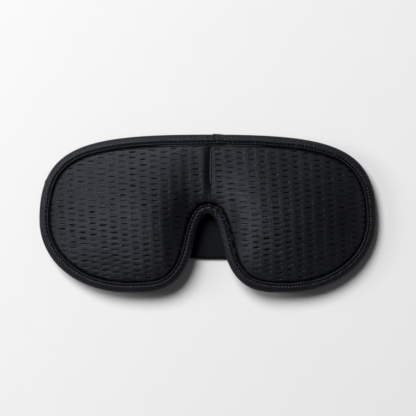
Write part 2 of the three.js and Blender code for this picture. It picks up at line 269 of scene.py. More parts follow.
def distance_inside(x, y):
    """How far each point is inside the edge; negative outside."""
    points = np.stack([np.ravel(x), np.ravel(y)], axis=1)
    depth = np.empty(len(points))
    for start in range(0, len(points), 4000):
        part = points[start : start + 4000]
        away = part[:, None, :] - EDGE[None, :, :]
        nearest = np.argmin((away**2).sum(axis=2), axis=1)
        own = away[np.arange(len(part)), nearest]
        side = (own * EDGE_INWARD[nearest]).sum(axis=1)
        depth[start : start + 4000] = np.sign(side) * np.linalg.norm(own, axis=1)
    return depth.reshape(np.shape(x))


def inflated(depth):
    """The shape of a skin held along the binding's inner fold and blown up, from 0 to 1.

    Each point settles between its four neighbours, on the two colours of a chessboard in turn.
    """
    rounds, pressure, over_relaxed = 500, 1e-3, 1.93
    free = depth > BINDING_WIDTH - 0.3
    xi, yi = np.indices(depth.shape)
    height = np.where(free, 0.5, 0.0)
    for _ in range(rounds):
        for colour in (0, 1):
            mine = free & ((xi + yi) % 2 == colour)
            beside = np.roll(height, 1, 0) + np.roll(height, -1, 0)
            around = beside + np.roll(height, 1, 1) + np.roll(height, -1, 1)
            target = (around + pressure) / 4
            height = np.where(mine, height + over_relaxed * (target - height), height)
    return height / height.max()


GRID_DEPTH = distance_inside(*np.meshgrid(GRID_X, GRID_Y, indexing="ij"))
GRID_DOME = inflated(GRID_DEPTH)


def sampled(field, x, y):
    """The grid's field at those points, smoothly between the grid's own."""
    fx = np.clip((np.asarray(x, float) - GRID_X[0]) / GRID_STEP, 1, len(GRID_X) - 3)
    fy = np.clip((np.asarray(y, float) - GRID_Y[0]) / GRID_STEP, 1, len(GRID_Y) - 3)
    ix, iy = fx.astype(int), fy.astype(int)
    tx, ty = fx - ix, fy - iy

    def weights(t):
        return (
            (-t + 2 * t**2 - t**3) / 2,
            (2 - 5 * t**2 + 3 * t**3) / 2,
            (t + 4 * t**2 - 3 * t**3) / 2,
            (-(t**2) + t**3) / 2,
        )

    total = 0
    for i, wx in enumerate(weights(tx)):
        for j, wy in enumerate(weights(ty)):
            total = total + wx * wy * field[ix + i - 1, iy + j - 1]
    return total


def dome(x, y):
    """The cups' rise, from 0 at the binding to 1 at a cup's top, low between the cups.

    Each cup's top is drawn towards the nose, with a nearly level saddle between the two, and stands
    fullest along the line of the eye.
    """
    free = smooth(5, 16, sampled(GRID_DEPTH, x, y))
    away = np.abs(x)
    top_shift = TOP_TO_NOSE * smooth(10, 32, away) * (1 - smooth(48, 92, away))
    saddle_shift = SADDLE_SHARE * away * (1 - smooth(8, 22, away))
    shifted = x + np.sign(x) * (top_shift - saddle_shift) * free
    rise = np.clip(sampled(GRID_DOME, shifted, y), 0, 1)
    steepness = STEEPNESS - NOSE_STEEPNESS * bell(x, 33)
    fullness = 0.91 + 0.12 * bell(y - EYE_LINE, 25)
    return rise**steepness * (1 - CENTRE_DIP * bell(x, 18)) * fullness


def seam_x(y):
    """The centre seam's X, where it passes that Y."""
    share = np.clip((y - NOTCH_TOP) / (MASK_TOP - NOTCH_TOP), 0, 1)
    return SEAM_AT[0] + (SEAM_AT[1] - SEAM_AT[0]) * share


def seam_strength(y):
    """1 where the centre seam is drawn in most, and 0 at the binding at its two ends."""
    return smooth(NOTCH_TOP + 6, NOTCH_TOP + 27, y) * (1 - smooth(MASK_TOP - 10, MASK_TOP - 6.4, y))


def seam_groove(x, y):
    """The seam's tuck: a slope on its left, and a steep lip on its right."""
    away = x - seam_x(y)
    left = np.clip(1 + away / SEAM_SLOPE, 0, 1) ** 1.6
    right = np.clip(1 - away / SEAM_LIP, 0, 1) ** 2
    return SEAM_DEPTH * seam_strength(y) * np.where(away < 0, left, right)


def front_height(x, y, depth):
    """The top of the cover, without its slits."""
    free = smooth(BINDING_WIDTH, BINDING_WIDTH + CUP_START, depth)
    height = edge_plane(x) + STACK_HALF + CUP_HEIGHT * dome(x, y) * free - seam_groove(x, y)
    tuck = TUCK_DEPTH * bell(depth - BINDING_WIDTH - 0.15, 0.4)
    return height - tuck + 0.13 * ripple(x, y, 24, 3) * smooth(7, 16, depth)


def back_height(x, y):
    """The underside of the lining, with the eye hollows and the padded rings round them."""
    share = np.sqrt(np.clip(1 - dome(x, y), 0, 1))
    hollow = HOLLOW_DEPTH * (1 - smooth(0.45, 0.8, share))
    ring = PAD_BULGE * np.sin(math.pi * smooth(0.45, 1, share)) ** 2
    seam = 0.9 * bell(x, 1.2) * seam_strength(y)
    return edge_plane(x) - STACK_HALF + hollow - ring + seam


# ---- Mesh makers ----
def mesh_object(name, points_mm, faces, material, uv_mm=None, values=None):
    """A smooth-shaded object from points in millimetres. values are named numbers on the points."""
    mesh = bpy.data.meshes.new(name)
    faces = np.asarray(faces, np.int32)
    sides = faces.shape[1]
    mesh.vertices.add(len(points_mm))
    mesh.vertices.foreach_set("co", (np.asarray(points_mm, float) * MM).ravel())
    mesh.loops.add(faces.size)
    mesh.loops.foreach_set("vertex_index", faces.ravel())
    mesh.polygons.add(len(faces))
    mesh.polygons.foreach_set("loop_start", np.arange(0, faces.size, sides, dtype=np.int32))
    mesh.update(calc_edges=True)
    mesh.validate()
    mesh.polygons.foreach_set("use_smooth", [True] * len(mesh.polygons))
    if uv_mm is not None:
        layer = mesh.uv_layers.new(name="cloth")
        corner = np.empty(len(mesh.loops), np.int32)
        mesh.loops.foreach_get("vertex_index", corner)
        layer.data.foreach_set("uv", np.asarray(uv_mm, float)[corner].ravel())
    for key, value in (values or {}).items():
        mesh.attributes.new(key, "FLOAT", "POINT").data.foreach_set("value", value)
    mesh.materials.append(material)
    piece = bpy.data.objects.new(name, mesh)
    bpy.context.scene.collection.objects.link(piece)
    return piece


def quads(rows, columns, rows_close=False, columns_close=False, first=0):
    """The faces of a grid of points, row by row."""
    r = np.arange(rows if rows_close else rows - 1)
    c = np.arange(columns if columns_close else columns - 1)
    r, c = np.meshgrid(r, c, indexing="ij")
    a, b = (r % rows) * columns, ((r + 1) % rows) * columns
    c, d = c % columns, (c + 1) % columns
    return np.stack([a + c, b + c, b + d, a + d], axis=-1).reshape(-1, 4) + first


def swept(name, rings, material, uv=None, closed=False, values=None):
    """A tube over equal rings of points. An open one is closed by folding each end ring flat."""
    rows, columns = rings.shape[:2]
    faces = quads(rows, columns, rows_close=closed, columns_close=True)
    if not closed:
        half = np.arange(columns // 2 - 1)
        cap = np.stack([half, half + 1, columns - 2 - half, columns - 1 - half], axis=1)
        faces = np.vstack([faces, cap[:, ::-1], cap + (rows - 1) * columns])
    uv_points = None if uv is None else uv.reshape(-1, 2)
    return mesh_object(name, rings.reshape(-1, 3), faces, material, uv_points, values)


def clipped_grid(xs, ys, reach, bend=None):
    """Points and square faces of a grid, keeping cells whose corners are all that far from the edge.

    bend moves the grid's points before they are tested.
    """
    x, y = np.meshgrid(xs, ys, indexing="ij")
    if bend:
        x = bend(x, y)
    inside = sampled(GRID_DEPTH, x, y) > reach
    faces = quads(len(xs), len(ys))[:, ::-1]
    faces = faces[inside.ravel()[faces].all(axis=1)]
    used, packed = np.unique(faces, return_inverse=True)
    return x.ravel()[used], y.ravel()[used], packed.reshape(-1, 4)


def half_lines(sign, step):
    """The X of a half's grid lines, from the middle to the side, in rising order."""
    lines = np.arange(0, HALF_WIDTH + step, step) * sign
    return lines if sign > 0 else lines[::-1]


def full_lines(step):
    """The Y of a half's grid lines."""
    return np.arange(MASK_BOTTOM, MASK_TOP + step, step)


# ---- Materials ----
class Nodes:
    """A material's node tree, with short calls for the few nodes used here."""

    def __init__(self, name, roughness, shine=0.25, sheen=0.0):
        self.material = bpy.data.materials.new(name)
        self.material.use_nodes = True
        self.tree = self.material.node_tree
        self.shader = self.tree.nodes["Principled BSDF"]
        self.shader.inputs["Roughness"].default_value = roughness
        self.shader.inputs["Sheen Weight"].default_value = sheen
        self.shader.inputs["Sheen Roughness"].default_value = 0.5
        self.shader.inputs["Specular IOR Level"].default_value = shine
        self.shader.inputs["Specular Tint"].default_value = (0.82, 0.86, 1, 1)

    def node(self, kind, **settings):
        made = self.tree.nodes.new(kind)
        for key, value in settings.items():
            setattr(made, key, value)
        return made

    def link(self, source, target):
        self.tree.links.new(source, target)

    def cloth_vector(self, turn=0.0, scale=(1, 1, 1)):
        """The cloth's own coordinates in millimetres, turned by that many degrees."""
        uv = self.node("ShaderNodeUVMap", uv_map="cloth")
        place = self.node("ShaderNodeMapping")
        place.inputs["Rotation"].default_value = (0, 0, math.radians(turn))
        place.inputs["Scale"].default_value = scale
        self.link(uv.outputs["UV"], place.inputs["Vector"])
        return place.outputs["Vector"]

    def waves(self, vector, period, distortion=0.0):
        """Bands of that period across X, from 0 to 1."""
        wave = self.node("ShaderNodeTexWave", wave_type="BANDS", bands_direction="X")
        wave.inputs["Scale"].default_value = math.pi / 10 / period
        wave.inputs["Distortion"].default_value = distortion
        wave.inputs["Detail"].default_value = 1
        self.link(vector, wave.inputs["Vector"])
        return wave.outputs["Fac"]

    def noise(self, vector, size, detail=2.0):
        noise = self.node("ShaderNodeTexNoise")
        noise.inputs["Scale"].default_value = 1 / size
        noise.inputs["Detail"].default_value = detail
        self.link(vector, noise.inputs["Vector"])
        return noise.outputs["Fac"]

    def maths(self, operation, a, b):
        node = self.node("ShaderNodeMath", operation=operation)
        for socket, value in zip(node.inputs, (a, b)):
            if isinstance(value, (int, float)):
                socket.default_value = value
            else:
                self.link(value, socket)
        return node.outputs[0]

    def attribute(self, name):
        return self.node("ShaderNodeAttribute", attribute_name=name).outputs["Fac"]

    def mix(self, share, low, high):
        mixer = self.node("ShaderNodeMix", data_type="RGBA")
        self.link(share, mixer.inputs["Factor"])
        for socket, colour in ((mixer.inputs["A"], low), (mixer.inputs["B"], high)):
            if isinstance(colour, tuple):
                socket.default_value = (*colour, 1)
            else:
                self.link(colour, socket)
        return mixer.outputs["Result"]

    def colour(self, source):
        self.link(source, self.shader.inputs["Base Color"])

    def darken_with_painted_shade(self, colour, shine):
        """That colour with painted shade on it: black and without highlights where the mesh's painted
        shade value is 1.
        """
        painted_shade = self.attribute("painted_shade")
        self.colour(self.mix(painted_shade, colour, (0.0004, 0.0004, 0.0005)))
        lit = self.maths("MULTIPLY", self.maths("SUBTRACT", 1.0, painted_shade), shine)
        self.link(lit, self.shader.inputs["Specular IOR Level"])

    def bump(self, height, depth_mm):
        bump = self.node("ShaderNodeBump")
        bump.inputs["Distance"].default_value = depth_mm * MM
        bump.inputs["Strength"].default_value = 1.0
        self.link(height, bump.inputs["Height"])
        self.link(bump.outputs["Normal"], self.shader.inputs["Normal"])


def cover_fabric():
    """Slit knit: fine courses across the columns, with painted shade inside the slits and in the crease
    beside the binding.
    """
    n = Nodes("cover_fabric", roughness=0.41)
    cloth = n.cloth_vector()
    courses = n.waves(n.cloth_vector(turn=90), 0.75, 0.5)
    wales = n.waves(cloth, 0.62, 0.8)
    mottle = n.noise(cloth, 1.1, 4)
    knit = n.maths("MULTIPLY", courses, n.maths("ADD", n.maths("MULTIPLY", wales, 0.3), 0.7))
    base = n.mix(knit, (0.001, 0.0012, 0.0018), (0.0042, 0.0046, 0.0062))
    uneven = n.mix(n.maths("MULTIPLY", mottle, 0.6), base, (0.0045, 0.0048, 0.0064))
    # painted shade: the mesh's painted shade values blacken the slits and the crease and take their
    # highlights away
    n.darken_with_painted_shade(uneven, n.maths("ADD", n.maths("MULTIPLY", mottle, 0.3), 0.23))
    n.bump(n.maths("ADD", knit, n.maths("MULTIPLY", mottle, 1.8)), 0.145)
    return n.material


def binding_tape():
    """Bias tape: a plain weave seen on the slant, with slubs in its threads."""
    n = Nodes("binding_tape", roughness=0.37)
    warp = n.waves(n.cloth_vector(turn=42), 1.5, 0.6)
    weft = n.waves(n.cloth_vector(turn=-48), 1.35, 0.6)
    slubs = n.noise(n.cloth_vector(turn=42, scale=(1, 0.5, 1)), 0.8, 3)
    weave = n.maths("ADD", n.maths("MULTIPLY", warp, weft), n.maths("MULTIPLY", slubs, 1.2))
    tape = n.mix(n.maths("MULTIPLY", weave, 0.6), (0.0003, 0.0004, 0.0006), (0.012, 0.0127, 0.0165))
    # painted shade from the mesh's values, in the stitched groove and its holes
    n.darken_with_painted_shade(tape, 0.26)
    n.bump(weave, 0.24)
    return n.material


def lining_fabric():
    """Smooth brushed jersey."""
    n = Nodes("lining_fabric", roughness=0.85, shine=0.2)
    cloth = n.cloth_vector()
    ribs = n.waves(cloth, 0.5, 0.8)
    mottle = n.noise(cloth, 1.2, 4)
    n.colour(n.mix(mottle, (0.012, 0.0125, 0.015), (0.022, 0.023, 0.027)))
    n.bump(n.maths("ADD", n.maths("MULTIPLY", ribs, 0.4), mottle), 0.08)
    return n.material


def elastic():
    """Flat woven elastic: fine cords along it, crossed by close threads."""
    n = Nodes("elastic", roughness=0.5, shine=0.14)
    cords = n.waves(n.cloth_vector(turn=90), 0.9, 0.1)
    threads = n.waves(n.cloth_vector(), 0.45, 0.2)
    weave = n.maths("ADD", n.maths("MULTIPLY", cords, 0.8), n.maths("MULTIPLY", threads, 0.3))
    n.colour(n.mix(weave, (0.001, 0.0011, 0.0015), (0.0035, 0.0038, 0.005)))
    n.bump(weave, 0.06)
    return n.material


def thread():
    n = Nodes("thread", roughness=0.6, shine=0.07)
    twist = n.waves(n.cloth_vector(turn=40), 0.35)
    n.colour(n.mix(twist, (0.002, 0.0022, 0.0028), (0.007, 0.0075, 0.009)))
    n.bump(twist, 0.06)
    return n.material


def loop_pile():
    n = Nodes("loop_pile", roughness=0.95, sheen=0.4)
    fuzz = n.noise(n.cloth_vector(), 0.5, 4)
    n.colour(n.mix(fuzz, (0.007, 0.0075, 0.009), (0.026, 0.027, 0.031)))
    n.bump(fuzz, 0.25)
    return n.material


def hook_plastic():
    n = Nodes("hook_plastic", roughness=0.45)
    weave = n.maths("MULTIPLY", n.waves(n.cloth_vector(), 0.6), n.waves(n.cloth_vector(turn=90), 0.6))
    n.colour(n.mix(weave, (0.008, 0.0085, 0.01), (0.018, 0.019, 0.022)))
    n.bump(weave, 0.05)
    return n.material


def foam_material():
    n = Nodes("foam", roughness=0.95)
    cells = n.noise(n.cloth_vector(), 0.6, 3)
    n.colour(n.mix(cells, (0.02, 0.021, 0.024), (0.035, 0.036, 0.04)))
    n.bump(cells, 0.2)
    return n.material


def table_paper():
    n = Nodes("table", roughness=0.9)
    grain = n.noise(n.node("ShaderNodeTexCoord").outputs["Object"], 0.02, 3)
    n.colour(n.mix(grain, (0.86, 0.86, 0.862), (0.88, 0.88, 0.882)))
    return n.material


COVER_FABRIC = cover_fabric()
BINDING_TAPE = binding_tape()
LINING_FABRIC = lining_fabric()
ELASTIC = elastic()
THREAD = thread()
LOOP_PILE = loop_pile()
HOOK_PLASTIC = hook_plastic()
FOAM = foam_material()


# ---- Camera, light and table ----
def aim(thing, place, target):
    """Put a lamp at that place, shining at the target."""
    thing.location = place
    direction = Vector(target) - Vector(place)
    thing.rotation_euler = direction.to_track_quat("-Z", "Y").to_euler()


def make_camera():
    """Straight down from far away, with the mask across four fifths of the picture."""
    distance = 1.1
    picture_width = 0.2628
    framed_height = 0.011  # the picture's width is measured at this height
    data = bpy.data.cameras.new("camera")
    data.sensor_width = 36
    data.lens = data.sensor_width * distance / picture_width
    camera = bpy.data.objects.new("camera", data)
    bpy.context.scene.collection.objects.link(camera)
    camera.location = (0, 0.0032, framed_height + distance)
    bpy.context.scene.camera = camera


def area_light(name, place, size, power):
    """A round lamp at that place, aimed at the mask."""
    data = bpy.data.lights.new(name, "AREA")
    data.shape = "DISK"
    data.size = size
    data.energy = power
    light = bpy.data.objects.new(name, data)
    bpy.context.scene.collection.objects.link(light)
    aim(light, place, (0, 0, 0))


def make_studio():
    area_light("key", (-1.36, 1.84, 2.88), size=2.1, power=146)
    area_light("side", (-1.2, 0.24, 0.67), size=0.56, power=5.6)
    world = bpy.data.worlds.new("studio")
    world.use_nodes = True
    background = world.node_tree.nodes["Background"]
    background.inputs["Color"].default_value = (1, 1, 1, 1)
    background.inputs["Strength"].default_value = 0.065
    bpy.context.scene.world = world
    bpy.context.scene.view_settings.view_transform = "Standard"


def make_table():
    """A white sheet that reaches far past the picture's edges."""
    half_side, just_below_the_straps = 6000.0, -0.2
    corners = np.array([[-1, -1], [1, -1], [1, 1], [-1, 1]]) * half_side
    points = np.column_stack([corners, np.full(4, just_below_the_straps)])
    mesh_object("table", points, [[0, 1, 2, 3]], table_paper())


make_camera()
make_studio()
make_table()


# ---- Baking pieces in place ----
def bend_at_nose(piece):
    """Bakes the piece's placement into its mesh; it is not joined to either half."""
    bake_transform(piece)
    return piece


# ---- Covers ----
def slit_pattern(x, y, lobe):
    """How deep in a slit each point is, from 0 to 1, and the height that its rib or band adds."""
    across = (x + y * SLIT_LEAN - lobe["column_at"]) / lobe["column_pitch"]
    column = np.round(across).astype(int)
    side = (across - column) * lobe["column_pitch"]
    down = (y - lobe["row_at"]) / lobe["row_pitch"] + column * COLUMN_SHIFT
    row = np.round(down).astype(int)
    variety = SLIT_VARIETY[:, column % SLITS_EACH_WAY, row % SLITS_EACH_WAY]
    length, width, shift, tilt, strength = variety
    half_length = SLIT_HALF_LENGTH * (1 + SLIT_VARIES["length"] * length)
    off = (down - row) * lobe["row_pitch"] + SLIT_VARIES["shift"] * shift
    off = off - side * (0.03 + SLIT_VARIES["tilt"] * tilt) - 0.1 * (side / half_length) ** 2
    taper = np.sqrt(np.clip(1 - (side / half_length) ** 2, 0, 1))
    open_to = SLIT_HALF_WIDTH * (1 + SLIT_VARIES["width"] * width) * (0.4 + 0.6 * taper)
    wear = 0.8 + SLIT_VARIES["wear"] * strength + SLIT_VARIES["wear"] * ripple(x, y, 30, 21)
    wear = np.clip(wear, 0.3, 1)
    slit = taper**0.6 * (1 - smooth(0.4, 1.3, np.abs(off) / open_to)) * wear
    in_column = 1 - smooth(0.75, 1.25, np.abs(side) / SLIT_HALF_LENGTH)
    rib = RIB_HEIGHT * (0.5 - 0.5 * np.cos(2 * math.pi * down)) * wear
    return slit, in_column * (rib - COLUMN_DIP)


def make_cover(name, node, sign, lobe):
    """One cover: a close grid whose lines follow the seam, pressed in at the slits."""

    def along_seam(x, y):
        return x + seam_x(y) * bell(x, 18)

    xs = half_lines(sign, COVER_STEP[0])
    fine = np.arange(0, FINE_LINES) * FINE_STEP * sign
    xs = np.unique(np.concatenate([xs[np.abs(xs) > FINE_LINES * FINE_STEP], fine]))
    x, y, faces = clipped_grid(xs, full_lines(COVER_STEP[1]), COVER_REACH, along_seam)
    depth = sampled(GRID_DEPTH, x, y)
    slit, relief = slit_pattern(x, y, lobe)
    from_seam = x - seam_x(y)
    tucked = seam_strength(y) * smooth(-5.6, -3.8, from_seam) * smooth(-1.5, -0.5, -from_seam)
    clear_of_seam = smooth(0.5, 1.6, np.abs(from_seam)) * (1 - tucked)
    shown = smooth(BINDING_WIDTH, BINDING_WIDTH + 1, depth) * clear_of_seam
    z = front_height(x, y, depth) - (SLIT_DEPTH * slit - relief) * shown
    # painted shade: how far each point stands in for the shade inside a slit, or in the crease beside the
    # binding
    painted_shade = np.maximum(0.85 * slit**0.8 * shown, bell(depth - BINDING_WIDTH - 0.1, 0.26))
    points, flat = np.stack([x, y, z], axis=1), np.stack([x, y], axis=1)
    cover = mesh_object(name, points, faces, COVER_FABRIC, flat, {"painted_shade": painted_shade})
    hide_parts(node)
    return bend_at_nose(cover)


cover_left = make_cover("cover_left", "front_cover_left", -1, LEFT_LOBE)
cover_right = make_cover("cover_right", "front_cover_right", 1, RIGHT_LOBE)


# ---- Foam pads and lining ----
def border(faces):
    """The edges that only one face uses, each in its face's direction."""
    edges = np.vstack([faces[:, [k, (k + 1) % 4]] for k in range(4)])
    key = np.sort(edges, axis=1)
    _, first, uses = np.unique(key, axis=0, return_index=True, return_counts=True)
    return edges[first[uses == 1]]


def make_pad(name, node, sign):
    """One foam cup: a closed body between the cover and the lining."""
    x, y, faces = clipped_grid(half_lines(sign, PAD_STEP), full_lines(PAD_STEP), PAD_REACH)
    depth = sampled(GRID_DEPTH, x, y)
    top = np.stack([x, y, front_height(x, y, depth) - PAD_UNDER_COVER], axis=1)
    bottom = np.stack([x, y, back_height(x, y) + PAD_OVER_LINING], axis=1)
    count = len(x)
    ring = border(faces)
    walls = np.stack([ring[:, 1], ring[:, 0], ring[:, 0] + count, ring[:, 1] + count], axis=1)
    faces = np.vstack([faces, faces[:, ::-1] + count, walls])
    flat = np.tile(np.stack([x, y], axis=1), (2, 1))
    pad = mesh_object(name, np.vstack([top, bottom]), faces, FOAM, flat)
    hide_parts(node)
    return bend_at_nose(pad)


def make_lining(name, node, sign):
    """One lining, a single layer facing the eye."""
    x, y, faces = clipped_grid(half_lines(sign, LINING_STEP), full_lines(LINING_STEP), COVER_REACH)
    z = back_height(x, y) + 0.12 * ripple(x, y, 20, 8)
    points, flat = np.stack([x, y, z], axis=1), np.stack([x, y], axis=1)
    lining = mesh_object(name, points, faces[:, ::-1], LINING_FABRIC, flat)
    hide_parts(node)
    return bend_at_nose(lining)


make_pad("foam_left", "foam_cup_left", -1)
make_pad("foam_right", "foam_cup_right", 1)
lining_left = make_lining("lining_left", "inner_lining_left", -1)
lining_right = make_lining("lining_right", "inner_lining_right", 1)


# ---- Binding ----
def tape_face(inset):
    """The height of the tape's face above the edge's middle plane: a roll, a stitched groove, a lip."""
    rest = 1 - np.clip(inset / TAPE_ROUND, 0, 1)
    roll = BINDING_HALF * (1 - rest**TAPE_ROLL) ** (1 / TAPE_ROLL)
    groove = 0.42 * bell(inset - STITCH_INSET, 0.42)
    lip = 0.25 * bell(inset - 5.55, 0.45) - 0.6 * smooth(5.8, 6.2, inset)
    return roll - groove + lip


def tape_section(grow=0.0):
    """(inset, height) round the folded tape: along the front, back along the inside."""
    insets = TAPE_INSETS - grow * (1 - TAPE_INSETS / TAPE_INSETS[-1])
    face = np.stack([insets, tape_face(TAPE_INSETS) + grow], axis=1)
    face[0, 1] = 0.0
    front = np.vstack([face, TAPE_INSIDE])
    return np.vstack([front, front[-2:0:-1] * (1, -1)])


def tape_rings(sections, line, inward, slant=0.0):
    """Sections carried along the line, with a hole between every two stitches.

    Returns the rings of points, their places on the cloth, and the painted shade that stands in
    for the shade in the stitched groove, deepest at the holes.
    """
    run = run_along(line)[:, None]
    inset, height = sections[..., 0], sections[..., 1]
    hole = (0.5 + 0.5 * np.cos(2 * math.pi * run / STITCH_PITCH)) ** 2
    from_row = inset - STITCH_INSET
    pull = -0.3 * hole * bell(from_row, 0.6) - 0.06 * hole * bell(from_row, 1.5)
    # painted shade along the stitched groove, darkest at the stitch holes
    painted_shade = bell(from_row, 0.45) * (0.25 + 0.75 * hole)
    sway = 0.16 * ripple(run, 0 * run, 30, 5)
    drawn = inset + sway * np.clip(inset / 3, 0, 1)
    along = np.stack([-inward[:, 1], inward[:, 0]], axis=1)
    shift = slant * (inset - BINDING_WIDTH / 2) + 0 * run
    place = line[:, None, :] + inward[:, None, :] * drawn[:, :, None]
    place = place + along[:, None, :] * shift[:, :, None]
    lumpy = 1 + 0.035 * ripple(run, 0 * run, 13, 6)
    outer_face = np.abs(height) > 2
    z = edge_plane(place[:, :, 0]) + np.sign(height) * (np.abs(height) * lumpy + pull * outer_face)
    across = run_along(sections[0])
    uv = np.stack(np.broadcast_arrays(run, across[None, :]), axis=-1)
    return np.concatenate([place, z[:, :, None]], axis=2), uv, {"painted_shade": painted_shade.ravel()}


def make_binding():
    rings, uv, values = tape_rings(tape_section()[None], EDGE, EDGE_INWARD)
    piece = swept("binding", rings, BINDING_TAPE, uv, closed=True, values=values)
    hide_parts("edge_binding_left", "edge_binding_right")
    return bend_at_nose(piece)


def make_binding_lap():
    """The tape's end, laid on the slant over its start just right of the centre, and thinning out."""
    top_edge = EDGE[:, 1] > 30
    near = top_edge & (EDGE[:, 0] > LAP_GROW[0][0]) & (EDGE[:, 0] < LAP_GROW[0][-1])
    grow = np.interp(EDGE[near][:, 0], LAP_GROW[0], LAP_GROW[1])
    sections = np.array([tape_section(g) for g in grow])
    rings, uv, values = tape_rings(sections, EDGE[near], EDGE_INWARD[near], LAP_SLANT)
    piece = swept("binding_lap_end", rings, BINDING_TAPE, uv, values=values)
    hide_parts("binding_lap")
    return bend_at_nose(piece)


make_binding()
make_binding_lap()


# ---- Stitches ----
def stitch_rings(line, up, length, pitch):
    """Rings of points for each stitch along the line, each one dipping into the cloth at its ends."""
    run = run_along(line)
    count = max(1, round(run[-1] / pitch))
    t = np.linspace(0, 1, STITCH_RINGS)
    swell = THREAD_RADIUS * np.clip(np.sin(math.pi * (0.06 + 0.88 * t)), 0, 1) ** 0.35
    turn = np.linspace(0, 2 * math.pi, STITCH_SIDES, endpoint=False)
    made = []
    for i in range(count):
        at = (i + 0.5) * run[-1] / count + (t - 0.5) * length
        middle = points_at(line, at, run)
        middle += np.array(up) * (0.1 - 0.5 * (2 * t - 1) ** 4)[:, None]
        along = tangents(middle)
        side = np.cross(along, up)
        side /= np.linalg.norm(side, axis=1)[:, None]
        over = np.cross(side, along)
        across = side[:, None] * np.cos(turn)[None, :, None] * 1.15
        upward = over[:, None] * np.sin(turn)[None, :, None]
        made.append(middle[:, None] + (across + upward) * swell[:, None, None])
    return made


def stitches(name, lines, up, length=STITCH_LENGTH, pitch=STITCH_PITCH):
    """Rows of separate stitches along those lines, as one piece."""
    rings = [ring for line in lines for ring in stitch_rings(line, up, length, pitch)]
    size = STITCH_RINGS * STITCH_SIDES
    faces = []
    for i in range(len(rings)):
        faces.append(quads(STITCH_RINGS, STITCH_SIDES, columns_close=True, first=i * size))
        cap = i * size + np.array([[0, 1, 2, 3], [0, 3, 4, 7], [4, 5, 6, 7]])
        faces += [cap[:, ::-1], cap + size - STITCH_SIDES]
    along, around = np.linspace(0, length, STITCH_RINGS), np.arange(STITCH_SIDES) * 0.2
    flat = np.stack(np.meshgrid(along, around, indexing="ij"), axis=-1).reshape(-1, 2)
    points = np.array(rings).reshape(-1, 3)
    piece = mesh_object(name, points, np.vstack(faces), THREAD, np.tile(flat, (len(rings), 1)))
    return piece


def binding_stitches(name, nodes, facing):
    """The row round the whole edge, on the front where facing is 1 and on the back where it's -1."""
    place = EDGE + EDGE_INWARD * STITCH_INSET
    height = float(tape_face(np.array([STITCH_INSET]))[0]) + TAPE_THREAD_STAND
    z = edge_plane(place[:, 0]) + facing * height
    line = np.column_stack([place, z])
    row = stitches(name, [np.vstack([line, line[:1]])], (0, 0, facing))
    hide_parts(*nodes)
    return bend_at_nose(row)


def centre_stitches():
    """The covers' seam, down in its groove."""
    y = np.linspace(NOTCH_TOP + 8, MASK_TOP - 9, 60)
    x = seam_x(y)
    z = front_height(x, y, sampled(GRID_DEPTH, x, y)) + THREAD_STAND
    line = np.stack([x, y, z], axis=1)
    row = stitches("centre_stitches", [line], (0, 0, 1), SEAM_STITCH_LENGTH, SEAM_STITCH_PITCH)
    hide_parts("centre_seam_thread")
    return bend_at_nose(row)


binding_stitches("front_stitches", ("binding_stitch_front_left", "binding_stitch_front_right"), 1)
binding_stitches("back_stitches", ("binding_stitch_back_left", "binding_stitch_back_right"), -1)
centre_stitches()


# ---- Straps ----
def strap_line(fold, runs, bends):
    """The free part's middle line on the table: straight for those runs from the fold, then bends."""
    direction = -fold["inward"] * 2 * fold["tilt"]
    start = np.array([fold["x"], fold["y"]])
    step = np.array([fold["inward"] * math.cos(direction), math.sin(direction)])
    points = [start + step * run for run in runs]
    return resampled(catmull(np.vstack([points, *bends])), 0.7)


LEFT_BENDS = [[-28, -11.9], [-8, -14], [14, -14.4], [46, -17], [80, -21.5]]
LEFT_LINE = strap_line(LEFT_FOLD, (0, 28, 56), [LEFT_BENDS])
RIGHT_LINE = strap_line(RIGHT_FOLD, (0, 50, 98), [])


def strap_surface(fold, line, lift):
    """The strap's middle surface as rows of points across it, from its sewn end to its free end."""
    half = STRAP_WIDTH / 2
    across = np.linspace(-half, half, 40)
    folding = np.array([math.sin(fold["tilt"]), math.cos(fold["tilt"])])
    if fold["inward"] < 0:
        folding = folding * (-1, 1)
    out = np.array([-fold["inward"], 0.0])
    normal = np.array([folding[1], -folding[0]]) * (-fold["inward"])
    centre = np.array([fold["x"], fold["y"]])
    rows = []
    for s in np.arange(-SEWN_LENGTH, FOLD_RUN, FOLD_STEP):
        flat = out * s + np.outer(across, (0, 1))
        beyond, beside = flat @ normal, flat @ folding
        quarter = math.pi * fold["radius"] / 2
        angle = np.clip(beyond / fold["radius"] + math.pi / 2, 0, math.pi)
        past = np.where(beyond > quarter, quarter - beyond, 0)
        reach = np.where(beyond < -quarter, beyond + quarter, past) + fold["radius"] * np.sin(angle)
        place = centre + np.outer(beside, folding) + np.outer(reach, normal)
        sewn = edge_plane(place[:, 0]) - edge_plane(fold["x"])
        base = 0.5 * STRAP_THICKNESS + fold["radius"] * (1 + np.cos(angle))
        rows.append(np.column_stack([place, base + sewn * (beyond < 0)]))
    free = run_along(line) >= FREE_FROM
    side = leftwards(line) * fold["inward"]
    for point, beside in zip(line[free], side[free]):
        place = point + np.outer(across, beside)
        z = 0.5 * STRAP_THICKNESS + lift(point[0])
        rows.append(np.column_stack([place, np.full(len(across), z)]))
    return np.array(rows), across


